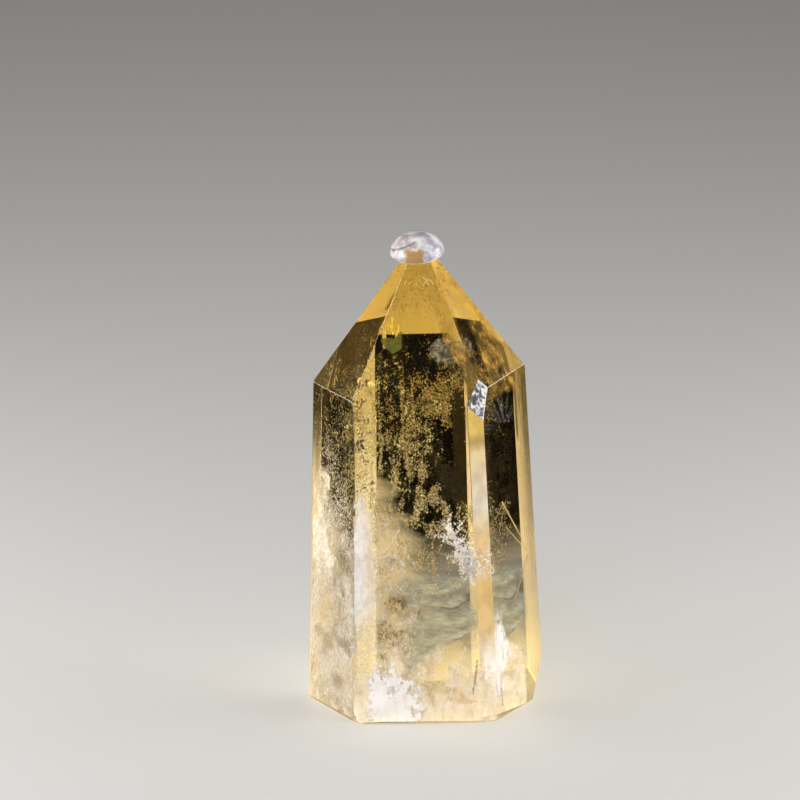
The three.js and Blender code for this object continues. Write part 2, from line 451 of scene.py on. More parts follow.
def dustDensity(spot):
    across, height = spot.x, spot.z + dustVeil["frontSlope"] * (spot.y + 9.5)  # where the front shows it
    lumps = clumps(across * 0.75, spot.y * 0.06, height * 0.55, 1)
    upright = clumps(across * 2.4, spot.y * 0.05, height * 0.22, 2)
    left = 1 - smooth(across, -3.5, 0.5)
    pattern = lumps * (1 - 0.6 * left) + upright * (0.25 + 0.6 * left)
    chance = 0.75 * smooth(pattern, -0.06, 0.42)
    window = math.hypot((across - 3.4) / 2.8, (height - 31.0) / 6.8)  # a dark clear window
    chance *= smooth(window + 0.45 * lumps, 0.78, 1.25)
    band = abs((height - 37.8) - 1.05 * (across - 1.6))  # a pale diagonal band above it
    chance = max(chance, (0.5 + lumps) * smooth(2.2 - band, 0, 2) * smooth(across, -3.6, -1.5))
    chance *= 1 - 0.8 * smooth(height, 37.5, 40.5)
    chance *= 1 - smooth(spot.z, 40.0, 42.0)
    chance *= smooth(height, 13.5, 20)
    return max(0.0, min(1.0, chance))


def dustFlecks():
    rng = np.random.default_rng(dustVeil["seed"])
    spots = rng.uniform(dustVeil["low"], dustVeil["high"], (dustVeil["tries"], 3))
    spots = keepDense(spots, dustDensity, rng)
    sizes = rng.uniform(*dustVeil["sizes"], len(spots)) * rng.choice(dustVeil["shares"], len(spots))
    return shards(spots, sizes, (1, 1, 1.4), 0.25, rng)


addPiece("dust_veil", fleckMesh("dust_veil", [dustFlecks()]), goldenDust, "citrine")


# left veil: upright milky streaks just inside the front left face
leftVeil = {
    "tries": 60000, "leftEdge": (-12.55, -2.75), "rightEdge": (-8.5, -9.1), "inward": (0.828, 0.56),
    "depths": (0.3, 4.5), "low": 1.0, "high": 37.5, "sizes": (0.07, 0.2), "seed": 8}


def leftDensity(share, depth, height):
    seen = height + 0.26 * depth
    streak = clumps(share * 16, depth * 0.1, seen * 0.2, 3)
    wisp = clumps(share * 5, depth * 0.1, seen * 0.35, 4)
    rise = smooth(34 - seen - 9 * share + 12 * wisp, 0, 9)  # milky up to here
    chance = 0.02 + 0.85 * rise * smooth(streak + 0.5 * wisp, -0.02, 0.32)
    chance *= 1 - 0.5 * smooth(share, 0.5, 0.9) * smooth(seen, 14, 24)
    chance *= 1 - 0.85 * smooth(20 - seen, 0, 6)
    return max(0.0, min(1.0, chance))


def leftFlecks():
    rng = np.random.default_rng(leftVeil["seed"])
    count = leftVeil["tries"]
    share, depth = rng.random(count), rng.uniform(*leftVeil["depths"], count)
    height = rng.uniform(leftVeil["low"], leftVeil["high"], count)
    chance = np.array([leftDensity(*s) for s in zip(share, depth, height)])
    keep = rng.random(count) < chance
    share, depth, height = share[keep], depth[keep], height[keep]
    left, right, inward = (np.array(leftVeil[k]) for k in ("leftEdge", "rightEdge", "inward"))
    flat = left + share[:, None] * (right - left) + depth[:, None] * inward
    sizes = rng.uniform(*leftVeil["sizes"], len(flat))
    return shards(np.column_stack([flat, height]), sizes, (1, 1, 2.6), 0.2, rng)


addPiece("left_veil", fleckMesh("left_veil", [leftFlecks()]), milkyDust, "citrine")


# foot clouds: bright white feathery clouds that rise from the sawn foot
footClouds = [
    {"centre": (-3.6, -7.6, 2.6), "reach": (2.9, 1.6, 4.4), "count": 350, "seed": 11},
    {"centre": (7.3, -6.4, 5.6), "reach": (1.5, 1.4, 5.2), "count": 900, "seed": 12},
    {"centre": (-9.4, -4.6, 3.0), "reach": (1.2, 1.4, 2.2), "count": 500, "seed": 13},
    {"centre": (9.6, -3.4, 3.6), "reach": (1.4, 2.0, 3.0), "count": 700, "seed": 14}]
footGap = 0.3  # flecks below this are turned back up


def cloudFlecks(cloud):
    rng = np.random.default_rng(cloud["seed"])
    spots = rng.normal(0, 0.42, (cloud["count"] * 2, 3)) * cloud["reach"] + cloud["centre"]
    low = spots[:, 2] < footGap
    spots[low, 2] = 2 * footGap - spots[low, 2]

    def density(spot):
        wisp = clumps(spot.x * 0.9, spot.y * 0.5, spot.z * 0.35, cloud["seed"])
        return smooth(wisp, -0.12, 0.22) if insideCrystal(spot) else 0.0

    spots = keepDense(spots, density, rng)
    return shards(spots, rng.uniform(0.1, 0.32, len(spots)), (1, 1, 1.7), 0.2, rng)


footFlecks = [cloudFlecks(cloud) for cloud in footClouds]
addPiece("foot_clouds", fleckMesh("foot_clouds", footFlecks), whiteFracture, "citrine")


# haze: thin milky sheets of healed crack just under the polished faces. Each function gives how
# dense and how brown its sheet is at u along it and v up it, from its lower left corner
def leftHaze(u, v):
    height = 29.5 * v - 0.9
    wisp = clumps(4 * u, 3, height * 0.22, 5)
    dense = smooth(32 - 15 * u + 10 * wisp - height, 0, 7)
    stain = 0.4 * smooth(clumps(4 * u, 9, height * 0.3, 6), 0.0, 0.6) + 0.36 * smooth(20 - height, 0, 7)
    stain += 0.4 * smooth(u, 0.45, 0.7) * smooth(height, 14, 19)
    return dense * (0.8 + 0.5 * wisp), stain


def frontHaze(u, v):
    across, height = -9.4 + 10.8 * u, -1 + 26 * v
    wisp = clumps(across * 0.7, 3, height * 0.5, 7)
    dense = smooth(23.5 - 1.4 * (across + 5) + 8 * wisp - height, 0, 7)
    brown = smooth(clumps(across * 0.9, 5, height * 0.8, 8), 0.05, 0.5)
    for x, z, reach in ((-3.0, 14.0, 2.0), (-4.8, 10.4, 1.5)):
        brown = max(brown, 1.2 - math.hypot(across - x, height - z) / reach)
    brown *= 1 - 0.7 * smooth(height, 14.5, 17)
    dense *= 1 - smooth(across, -3.0, 1.0) * smooth(height, 5, 9)
    dense *= 0.6 + 0.4 * smooth(across, -5.8, -5.2)
    return dense * (0.75 + 0.5 * wisp), brown * smooth(across, -5.8, -5.2) * smooth(height, 5, 9)


def rightHaze(u, v):
    height = 15 * v - 0.9
    wisp = clumps(5 * u, 3, height * 0.35, 9)
    dense = max(smooth(10.5 - 5 * u + 6 * wisp - height, 0, 5), smooth(6.5 - height, 0, 3.5))
    return dense * (0.8 + 0.4 * wisp), 0.1


def footHaze(u, v):
    across, height = -9.5 + 18 * u, -1 + 11.5 * v
    wisp = clumps(across * 0.4, 3, height * 0.35, 10)
    dense = smooth(8.6 + 5 * wisp - height, 0, 5.5)
    stain = 0.1 + 0.5 * smooth(clumps(across * 0.5, 5, height * 0.5, 11), 0.1, 0.7)
    return dense * (0.86 + 0.3 * wisp), stain * smooth(height, 0.5, 3)


def greyBands(u, v):
    # soft grey waves near the back, with thin dark lines between some of them
    across, height = -4.2 + 10.4 * u, 1.2 + 15.5 * v
    sway = noise.noise(Vector((across * 0.28, 24.0, height * 0.3)))
    wave = height - 0.1 * across + 1.3 * sway
    crest = 0.5 + 0.5 * math.sin(2 * math.pi * wave / 2.3)
    line = smooth(abs(math.sin(math.pi * wave / 4.6)), 0.0, 0.16)
    dense = smooth(across + 2.6 + 2 * sway, -1.2, 1.4) * smooth(13.5 + 5 * sway - height, 0, 4)
    dense *= smooth(height - (1.6 + 0.69 * (across + 0.8)) + sway, 0, 0.8)
    dark = max(0.8 * (1 - line) * smooth(across + 3 * sway, 0.5, 2.5), 0.3 * (1 - crest))
    return dense * (0.72 + 0.25 * crest), dark


def leftCloud(u, v):
    # a bright feathery cloud with two horns and two hollows
    across, height = -7.2 + 7.6 * u, 0.2 + 8.4 * v
    wisp = clumps(across * 1.1, 3, height * 0.9, 18)
    fine = clumps(across * 3.5, 6, height * 2.2, 19)
    top = np.interp(across, (-6.9, -6.2, -5.2, -4.4, -3.5, -2.6, -1.2, -0.4, 0.3),
                    (3.0, 6.0, 7.0, 6.5, 7.3, 5.2, 5.3, 4.4, 2.0))
    dense = smooth(top + 1.3 * wisp + 0.8 * fine - height, -0.1, 1.3)
    dense *= smooth(across + 7.1 + 0.8 * wisp, 0, 1.6) * smooth(0.4 - across + 2.0 * wisp, 0, 2.4)
    for x, z, reach in ((-4.6, 5.9, 0.75), (-3.75, 3.8, 0.7)):
        dense *= 0.35 + 0.65 * smooth(math.hypot(across - x, height - z) / reach + 0.6 * fine, 0.5, 1.2)
    return dense * (1.1 + 0.5 * fine), 0.0


def columnWhite(u, v):
    # the bright upright strip behind the left end of the front face
    across, height = -9.2 + 4.4 * u, 9 + 19 * v
    wisp = clumps(across * 0.8, 3, height * 0.25, 29)
    dense = smooth(-5.0 - across + 0.5 * wisp, 0, 2.9) * smooth(26.6 + 5 * wisp - height, 0, 2.2)
    return 0.85 * dense * smooth(height, 9.5, 15), 0.05


def featherHaze(u, v):
    # the dense heart of the feather crack
    x, z = 1.6 + 6.4 * u, 15.6 + 9 * v
    middle = np.interp(x, (2.0, 3.6, 4.6, 5.5, 6.6), (23.6, 20.8, 19.3, 18.4, 17.9))
    fine = clumps(x * 2.6, 4, z * 2.2, 30)
    reach = np.interp(x, (2.2, 3.4, 4.4, 6.0, 7.4), (0.7, 1.3, 1.9, 1.9, 0.6))
    near = 1 - abs(z - middle + 0.3) / reach
    return smooth(near + 2.2 * fine, 0.5, 0.66), 0.0


def rightCloud(u, v):
    across, height = 5.6 + 4.4 * u, 0.6 + 15 * v
    wisp = clumps(across * 1.2, 3, height * 0.45, 20)
    upright = clumps(across * 4.0, 6, height * 0.35, 21)
    left = np.interp(height, (2.4, 3.8, 7.0, 9.8, 11.5), (7.0, 6.5, 5.95, 6.4, 7.3))
    right = np.interp(height, (2.4, 5.0, 7.0, 8.0, 10.0, 12.0, 15.0), (8.4, 8.6, 9.6, 9.5, 8.7, 8.3, 8.0))
    dense = smooth(across - left + 0.5 * wisp, 0, 0.6) * smooth(right - across + 0.6 * wisp, 0, 0.7)
    dense *= smooth(height + 1.5 * wisp, 1.6, 4.2) * (1 - smooth(height + 2.5 * upright, 10.5, 13.5))
    return dense * (0.85 + 0.8 * upright), 0.0


def shoulderGold(u, v):
    height = 29 + 15 * v
    streak = clumps(13 * u, 3, height * 0.16, 12)
    wisp = clumps(4 * u, 7, height * 0.3, 13)
    fan = 0.3 * smooth(streak + 0.4 * wisp, 0.1, 0.4) + 0.4 * smooth(-wisp, 0.0, 0.4)
    return fan * smooth(height, 29, 32), smooth(-wisp, -0.05, 0.2)


def frontGold(u, v):
    across, height = -9.8 + 16.6 * u, 20 + 26 * v
    lumps = clumps(across * 0.6, 3, height * 0.45, 14)
    upright = clumps(across * 1.6, 3, height * 0.2, 15)
    left = 1 - smooth(across, -3.8, -1.0)
    window = math.hypot((across - 3.1) / 2.9, (height - 31.0) / 7.0)
    dense = 0.12 + 1.3 * lumps + left * (0.12 + 0.9 * upright)
    dense *= smooth(window + 0.4 * lumps, 0.8, 1.25)
    band = abs((height - 38.3) - 0.9 * (across - 1.6))
    dense = max(dense, (0.6 + 1.3 * lumps) * smooth(1.8 - band, 0, 1.5) * smooth(across, -3.6, -1.0))
    column = (1 - smooth(across, -6.0, -5.4)) * smooth(height, 24, 28)
    patch = clumps(across * 0.9, 9, height * 0.7, 28)
    dense = max(dense, column * (0.66 + 0.9 * patch))
    dark = smooth(-lumps + 0.3 * upright, 0.0, 0.25) * 0.4
    dark = max(dark, column * smooth(patch + 0.25 * upright, 0.02, 0.28))
    dense *= smooth(height, 22, 24)
    return dense * (1 - 0.7 * smooth(height, 37.5, 40.5)), dark


def greenPatch(u, v):
    # a shield with its point down and one high corner on the right
    wobble = 0.05 * clumps(u * 3, 2, v * 3, 16)
    top = np.interp(u, (0.05, 0.36, 0.6, 0.8, 0.96, 1.0), (0.62, 0.69, 0.65, 0.88, 1.0, 0.9))
    bottom = np.interp(u, (0.05, 0.24, 0.56, 0.84, 1.0), (0.6, 0.31, 0.0, 0.15, 0.35))
    return 0.92 * smooth(top + wobble - v, 0, 0.03) * smooth(v - bottom + wobble, 0, 0.03), 0.0


# a painted reflection: rippled bluish-grey rings on a sheet inside the point
def swirlReflection(u, v):
    x, z = 2 * u - 1, 2 * v - 1
    radius = math.hypot(x, z)
    ripple = 0.5 + 0.5 * math.sin(12 * radius + 6 * clumps(x * 1.3, 2, z * 1.3, 17))
    return (0.35 + 0.8 * ripple ** 2) * smooth(0.95 - radius, 0, 0.12), 0.0


def rightGold(u, v):
    # smoky golden clouds behind the right face of the point
    cloud = clumps(u * 3.2, 3, v * 2.6, 25)
    fine = clumps(u * 9, 6, v * 5, 26)
    dense = 0.5 + 0.8 * cloud + 0.4 * fine
    dark = 0.75 * smooth(0.12 - cloud - 0.4 * fine, 0.0, 0.3)
    return dense * (0.7 + 0.3 * smooth(0.55 - v, 0, 0.2)), dark


def rightFan(u, v):
    # a pale fan at their lower edge
    turn = math.atan2(v + 0.05, u - 0.75)
    ray = clumps(turn * 12, 2, 0.5, 27)
    away = math.hypot(u - 0.75, v + 0.05)
    return 0.4 * smooth(ray, 0.1, 0.4) * smooth(0.95 - away, 0, 0.6), 0.4


def topArch(u, v):
    # three pale arcs under the bead
    total = 0.0
    for middle, reach, top in ((0.25, 0.2, 0.75), (0.5, 0.26, 0.95), (0.8, 0.18, 0.6)):
        arc = top - ((u - middle) / reach) ** 2 * 0.55
        total = max(total, smooth(0.1 - abs(v - arc), 0, 0.08))
    return 0.55 * total * smooth(v, 0.05, 0.3), 0.0


def goldenFlames(u, v):
    lick = clumps(u * 7, 3, v * 1.6, 22)
    reach = 0.75 + 0.6 * clumps(u * 4, 5, 0.5, 23)
    return 0.9 * smooth(lick + 0.35 * (v - 0.5), 0.05, 0.16) * smooth(reach - v, 0, 0.2), 0.0


# where each sheet lies in mm: its lower left corner, its side along the face and its side up
hazeSheets = {
    "left_haze": {"corner": (-13.2, -1.0, -0.9), "along": (5.7, -8.7, 0), "up": (0.27, 0.18, 29.5),
                  "at": leftHaze, "kind": "milk"},
    "front_haze": {"corner": (-9.4, -9.65, -1), "along": (10.8, 0.5, 0), "up": (0, 0.76, 26),
                   "at": frontHaze, "kind": "speck"},
    "right_haze": {"corner": (4.8, -9.3, -0.9), "along": (6.9, 5.4, 0), "up": (-0.2, 0.6, 15),
                   "at": rightHaze, "kind": "cream"},
    "foot_haze": {"corner": (-9.5, -10.0, -1), "along": (18, 0.85, 0), "up": (0, 0.34, 11.5),
                  "at": footHaze, "kind": "cream"},
    "grey_bands": {"corner": (-4.2, 9.3, 1.2), "along": (10.4, -0.7, 0), "up": (0, -0.5, 15.5),
                   "at": greyBands, "kind": "band"},
    "left_cloud": {"corner": (-7.2, -9.97, 0.2), "along": (7.6, 0.36, 0), "up": (0, 0.25, 8.4),
                   "at": leftCloud, "kind": "white"},
    "column_white": {"corner": (-9.2, -10.0, 9), "along": (4.4, 0.2, 0), "up": (0, 0.56, 19),
                     "at": columnWhite, "kind": "white"},
    "feather_haze": {"corner": (1.6, -8.75, 15.6), "along": (6.4, 0.3, 0), "up": (0, 0.27, 9),
                     "at": featherHaze, "kind": "white"},
    "right_cloud": {"corner": (5.6, -8.9, 0.4), "along": (4.4, 3.2, 0), "up": (-0.2, 0.5, 15),
                    "at": rightCloud, "kind": "white"},
    "shoulder_gold": {"corner": (-11.8, -1.5, 29), "along": (5.1, -7.4, 0), "up": (0.9, 0.6, 15),
                      "at": shoulderGold, "kind": "gold"},
    "front_gold": {"corner": (-9.8, -8.0, 20), "along": (16.6, 0.5, 0), "up": (0, 1.4, 26),
                   "at": frontGold, "kind": "gold"},
    "green_patch": {"corner": (-5.25, -6.2, 42.1), "along": (2.75, 0, 0), "up": (0, 1.25, 2.6),
                    "at": greenPatch, "kind": "green"},
    "golden_flames": {"corner": (-6.3, -4.7, 42.3), "along": (3.5, -0.9, 0), "up": (0.3, 1.7, 3.7),
                      "at": goldenFlames, "kind": "flame"},
    # the next sheet paints a reflection as bluish-grey rings
    "swirl_reflection": {"corner": (0.1, -2.5, 39.4), "along": (4.4, 0, 0), "up": (0, 0, 3.7),
                    "at": swirlReflection, "kind": "frost"},
    "right_gold": {"corner": (5.0, -9.3, 36.8), "along": (5.6, 7.7, 0), "up": (-8.6, 6.3, 16.6),
                   "at": rightGold, "kind": "smoke"},
    "right_fan": {"corner": (4.6, -8.9, 33.4), "along": (5.0, 6.6, 0), "up": (-0.6, 0.4, 5.2),
                  "at": rightFan, "kind": "frost"},
    "top_arch": {"corner": (-2.6, -3.2, 49.0), "along": (3.6, 0.1, 0), "up": (0, 0.55, 1.3),
                 "at": topArch, "kind": "cream"}}
hazeCuts = {"along": 70, "up": 150, "ripple": 0.25, "margin": 0.12, "fade": 0.12}

# grain: stops of the tone; size: grains for each mm; bite: how the grain breaks a sheet into specks
hazeKinds = {
    "milk": {
        "name": "milky", "stain": "#7a6234", "size": (3.6, 3.6, 2.0), "bite": (0.38, 0.6, 0.55, 1.2),
        "grain": [(0.35, "#dccdb6"), (0.55, "#eadfd0"), (0.7, "#faf5f0")]},
    "cream": {
        "name": "creamy", "stain": "#cfa562", "size": (1.2, 1.2, 0.7), "bite": (0.3, 0.6, 0.85, 1.15),
        "grain": [(0.35, "#f6e2c0"), (0.55, "#fdf0d8"), (0.7, "#ffffff")]},
    "speck": {
        "name": "speckled", "stain": "#6a5226", "size": (4.2, 4.2, 3.0), "bite": (0.4, 0.58, 0.25, 1.4),
        "grain": [(0.38, "#94825e"), (0.5, "#d2c2a4"), (0.62, "#f8f0e4")]},
    "smoke": {
        "name": "smoky golden", "stain": "#2a1f0c", "size": (1.0, 1.0, 0.8), "bite": (0.35, 0.65, 0.55, 1.15),
        "grain": [(0.35, "#57451a"), (0.5, "#8a6f2e"), (0.65, "#c4a256")]},
    "band": {
        "name": "grey banded", "stain": "#3f4030", "size": (0.9, 0.9, 2.4), "bite": (0.3, 0.6, 0.9, 1.1),
        "grain": [(0.35, "#98a6bc"), (0.5, "#b6c0d2"), (0.65, "#d6dcea")]},
    "white": {
        "name": "white", "stain": "#6e5428", "size": (2.0, 2.0, 1.0), "bite": (0.35, 0.6, 1.0, 1.3),
        "grain": [(0.35, "#f4ecea"), (0.5, "#fdf8f8"), (0.65, "#ffffff")]},
    "flame": {
        "name": "bright golden", "stain": "#241a08", "size": (2.0, 2.0, 0.8), "bite": (0.3, 0.5, 0.7, 1.1),
        "grain": [(0.35, "#b59c2c"), (0.6, "#f4dc78")]},
    "gold": {
        "name": "golden", "stain": "#201a08", "size": (4.6, 4.6, 3.2), "bite": (0.49, 0.6, 0.0, 1.8),
        "grain": [(0.45, "#6b6128"), (0.55, "#a89a4a"), (0.66, "#fff4c4")]},
    "green": {
        "name": "olive green", "stain": "#241a08", "size": (1.6, 1.6, 1.6), "bite": (0.3, 0.6, 0.9, 1.0),
        "grain": [(0.35, "#3f4a1c"), (0.65, "#68702e")]},
    "frost": {
        "name": "frosty", "stain": "#241a08", "size": (2.0, 2.0, 2.0), "bite": (0.35, 0.65, 0.4, 1.0),
        "grain": [(0.35, "#6c7084"), (0.65, "#c4cade")]}}


def hazeMaterial(kind):
    # healed crack full of tiny fluid drops, brown where iron has seeped in
    material, tree = newMaterial(kind["name"] + " healed crack")
    haze = addNode(tree, "ShaderNodeAttribute", {"attribute_name": "haze"})
    brown = addNode(tree, "ShaderNodeAttribute", {"attribute_name": "brown"})
    grain = addNode(tree, "ShaderNodeTexNoise", {"Scale": 1.0, "Detail": 4.0, "Roughness": 0.7}, {
        "Vector": inMillimetres(tree, kind["size"])})
    uneven = addNode(tree, "ShaderNodeMapRange", fromTo(kind["bite"]), {0: grain})
    amount = addNode(tree, "ShaderNodeMath", {"operation": "MULTIPLY", "use_clamp": True}, {
        0: haze.outputs["Fac"], 1: uneven})
    tone = setStops(addNode(tree, "ShaderNodeValToRGB", {}, {0: grain}), kind["grain"])
    tone = addNode(tree, "ShaderNodeMix", {"data_type": "RGBA", 7: toLinear(kind["stain"])}, {
        0: brown.outputs["Fac"], 6: tone})
    sheet = addNode(tree, "ShaderNodeBsdfPrincipled", {"Roughness": 0.6}, {
        "Base Color": tone, "Alpha": amount})
    addNode(tree, "ShaderNodeOutputMaterial", {}, {"Surface": sheet})
    return material


def borderFade(sheet, u, v):
    # sheets thin out before their borders, except where they run down to the foot
    wide, tall = Vector(sheet["along"]).length, Vector(sheet["up"]).length
    gap = min(u * wide, (1 - u) * wide, (1 - v) * tall)
    if sheet["corner"][2] > 5:
        gap = min(gap, v * tall)
    return smooth(gap, 0, hazeCuts["fade"] * min(wide, tall))


def hazeMesh(name, sheet):
    form = bmesh.new()
    bmesh.ops.create_grid(form, x_segments=hazeCuts["along"], y_segments=hazeCuts["up"], size=0.5)
    hazeLayer = form.verts.layers.float.new("haze")
    brownLayer = form.verts.layers.float.new("brown")
    corner, along, up = (Vector(sheet[k]) for k in ("corner", "along", "up"))
    inward = up.cross(along).normalized() * -1
    for vert in form.verts:
        u, v = vert.co.x + 0.5, vert.co.y + 0.5
        vert.co = corner + along * u + up * v
        vert.co += inward * hazeCuts["ripple"] * noise.noise(vert.co * 0.35)
        dense, brown = sheet["at"](u, v)
        vert[hazeLayer] = max(0, min(1, dense)) * borderFade(sheet, u, v)
        vert[brownLayer] = max(0, min(1, brown))
    outside = [v for v in form.verts if not insideCrystal(v.co, hazeCuts["margin"])]
    bmesh.ops.delete(form, geom=outside, context="VERTS")
    bmesh.ops.scale(form, vec=(mm, mm, mm), verts=form.verts)
    return finishMesh(name, form, smoothed=True)


hazeMaterials = {name: hazeMaterial(kind) for name, kind in hazeKinds.items()}
for sheetName, sheet in hazeSheets.items():
    addPiece(sheetName, hazeMesh(sheetName, sheet), hazeMaterials[sheet["kind"]], "citrine")


def alongLine(points, gap):
    spots = []
    for start, end in zip(points[:-1], points[1:]):
        steps = max(1, int((Vector(end) - Vector(start)).length / gap))
        spots += [Vector(start).lerp(Vector(end), s / steps) for s in range(steps)]
    return spots


# feather crack: a ragged white fracture behind the narrow face. Twigs: x, z, length and angle
featherCrack = {
    "stem": [(2.7, 23.0), (3.6, 20.8), (4.6, 19.3), (5.5, 18.4), (6.6, 17.9)],
    "twigs": [(3.2, 21.8, 1.2, -35), (3.9, 20.4, 2.2, -80), (4.4, 19.6, 1.5, 15), (4.9, 19.0, 2.4, -70),
              (5.4, 18.5, 1.3, 30), (5.7, 18.3, 2.2, -100), (3.4, 21.2, 1.0, 40), (5.0, 18.9, 1.8, -130),
              (4.4, 19.8, 1.8, -150), (6.1, 18.1, 1.2, -60)],
    "fineTwigs": 40, "fineLengths": (0.6, 2.4), "fineAngles": (-75, 5, -140, 60, 170),
    "depth": -8.6, "spread": (0.11, 0.5, 0.11), "sizes": (0.12, 0.42), "seed": 21}


def featherFlecks():
    rng = np.random.default_rng(featherCrack["seed"])
    stem, twigs = featherCrack["stem"], list(featherCrack["twigs"])
    lines = [alongLine([Vector(point) for point in stem], 0.03)]
    for _ in range(featherCrack["fineTwigs"]):
        step = rng.random() * (len(stem) - 1)
        low, share = int(step), step % 1
        x = stem[low][0] * (1 - share) + stem[low + 1][0] * share
        z = stem[low][1] * (1 - share) + stem[low + 1][1] * share
        length = rng.uniform(*featherCrack["fineLengths"])
        twigs.append((x, z, length, rng.choice(featherCrack["fineAngles"]) + rng.normal(0, 22)))
    for x, z, length, angle in twigs:
        turn = math.radians(angle)
        end = Vector((x + length * math.cos(turn), z + length * math.sin(turn)))
        middle = Vector((x, z)).lerp(end, 0.5) + Vector(rng.normal(0, 0.15, 2))
        lines.append(alongLine([Vector((x, z)), middle, end], 0.035))
    spots = np.array([(p.x, featherCrack["depth"], p.y) for line in lines for p in line])
    spots = spots + rng.normal(0, 1, (len(spots), 3)) * featherCrack["spread"]
    return shards(spots, rng.uniform(*featherCrack["sizes"], len(spots)), (1, 1, 1), 0.15, rng)


# crack lines: fine bright arcs where old cracks reach the front face, as x and z at one depth
crackLines = {"seed": 31, "spread": (0.05, 0.12, 0.05), "sizes": (0.06, 0.2), "lines": [
    (-9.6, [(-5.6, 17.6), (-5.3, 19.0), (-4.6, 19.9), (-3.7, 20.1), (-2.9, 19.4), (-2.5, 18.7)]),
    (-9.4, [(-5.2, 20.3), (-4.4, 20.6), (-3.9, 21.4), (-3.2, 22.4), (-2.9, 23.2)]),
    (-9.55, [(-6.2, 18.2), (-5.5, 19.2), (-5.0, 20.0)]),
    (-9.4, [(-3.4, 21.4), (-2.6, 20.8), (-2.2, 20.0)]),
    (-9.85, [(2.2, 1.6), (2.75, 3.1), (3.85, 7.5), (4.5, 9.2)])]}


def crackFlecks():
    rng = np.random.default_rng(crackLines["seed"])
    for depth, line in crackLines["lines"]:
        path = alongLine([Vector(p) for p in line], 0.03)
        spots = np.array([(p.x, depth, p.y) for p in path])
        spots += rng.normal(0, 1, spots.shape) * crackLines["spread"]
        yield shards(spots, rng.uniform(*crackLines["sizes"], len(spots)), (1, 1, 1), 0.2, rng)


# nicks: two small white bruises on the front left edge
nicks = {"places": [(-8.35, -9.35, 13.4), (-8.35, -9.6, 8.9)], "spread": (0.3, 0.3, 0.28), "count": 420,
         "sizes": (0.08, 0.25), "margin": 0.06, "seed": 41}


def nickFlecks():
    rng = np.random.default_rng(nicks["seed"])
    for place in nicks["places"]:
        spots = rng.normal(0, 1, (nicks["count"], 3)) * nicks["spread"] + place
        spots = keepDense(spots, lambda s: 1.0 if insideCrystal(s, nicks["margin"]) else 0.0, rng)
        yield shards(spots, rng.uniform(*nicks["sizes"], len(spots)), (1, 1, 1), 0.2, rng)


# sparkles: bright specks scattered just under the front face
sparkles = {"low": (-7.5, -9.6, 12.0), "high": (5.0, -7.8, 42.0), "tries": 420, "share": 0.45,
            "sizes": (0.05, 0.13), "margin": 0.2, "seed": 61}


def sparkleFlecks():
    rng = np.random.default_rng(sparkles["seed"])
    spots = rng.uniform(sparkles["low"], sparkles["high"], (sparkles["tries"], 3))
    spots = keepDense(spots, lambda s: sparkles["share"] * insideCrystal(s, sparkles["margin"]), rng)
    return shards(spots, rng.uniform(*sparkles["sizes"], len(spots)), (1, 1, 1), 0.2, rng)


brightFlecks = [featherFlecks(), *crackFlecks(), *nickFlecks(), sparkleFlecks()]
addPiece("bright_cracks", fleckMesh("bright_cracks", brightFlecks), whiteFracture, "citrine")


# dark cracks: short stained cracks that stand in the right foot cloud
darkCracks = {"seed": 51, "sizes": (0.06, 0.2), "lines": [
    [(5.75, -9.4, 7.4), (5.65, -9.4, 6.0), (5.4, -9.4, 4.2), (5.3, -9.4, 3.4)],
    [(8.3, -8.2, 3.6), (8.45, -8.2, 2.4), (8.5, -8.2, 1.4)],
    [(6.7, -8.8, 5.0), (6.8, -8.8, 4.2)]]}


def darkFlecks():
    rng = np.random.default_rng(darkCracks["seed"])
    for line in darkCracks["lines"]:
        spots = np.array([p[:] for p in alongLine([Vector(p) for p in line], 0.03)])
        spots += rng.normal(0, 0.04, spots.shape)
        yield shards(spots, rng.uniform(*darkCracks["sizes"], len(spots)), (1, 1, 1.5), 0.2, rng)


addPiece("dark_cracks", fleckMesh("dark_cracks", darkFlecks()), darkFracture, "citrine")


# needles: straight rutile-like needles that cross in the right half, and one small bright round ball, a
# painted glint
needles = [
    {"start": (4.9, 1.6, 22.9), "end": (9.4, 2.0, 16.9), "thick": 0.13},
    {"start": (5.4, 1.8, 19.8), "end": (9.2, 2.2, 16.6), "thick": 0.09},
    {"start": (3.8, 1.0, 21.0), "end": (5.0, 1.8, 22.6), "thick": 0.06},
    {"start": (4.3, 1.4, 19.5), "end": (5.6, 1.6, 22.9), "thick": 0.05},
    {"start": (9.1, 2.9, 16.0), "end": (6.5, 2.6, 10.6), "thick": 0.09}]
glintBead = {"centre": (-6.1, -5.0, 38.15), "radius": 0.42}


def needleMesh():
    form = bmesh.new()
    for needle in needles:
        start, end = Vector(needle["start"]) * mm, Vector(needle["end"]) * mm
        turn = (end - start).to_track_quat("Z", "Y").to_matrix().to_4x4()
        place = Matrix.Translation((start + end) / 2) @ turn
        bmesh.ops.create_cone(form, cap_ends=True, segments=6, radius1=needle["thick"] * mm,
                              radius2=needle["thick"] * 0.6 * mm, depth=(end - start).length, matrix=place)
    return finishMesh("needles", form)


def glintBeadMesh():
    form = bmesh.new()
    bmesh.ops.create_icosphere(form, subdivisions=3, radius=glintBead["radius"] * mm,
                               matrix=Matrix.Translation(Vector(glintBead["centre"]) * mm))
    return finishMesh("glintBead", form, smoothed=True)


needleMineral = fleckMaterial("pale golden needle mineral", [(0.3, "#a8985a"), (0.7, "#d9c98a")], 0.6)
addPiece("needles", needleMesh(), needleMineral, "citrine")
# painted glint: a bright golden-white ball where the light glints inside the crystal
glintBeadPaint = fleckMaterial("painted golden glint", [(0.3, "#ffe680"), (0.7, "#fff8cc")], 1.0)
addPiece("glintBead", glintBeadMesh(), glintBeadPaint, "citrine")


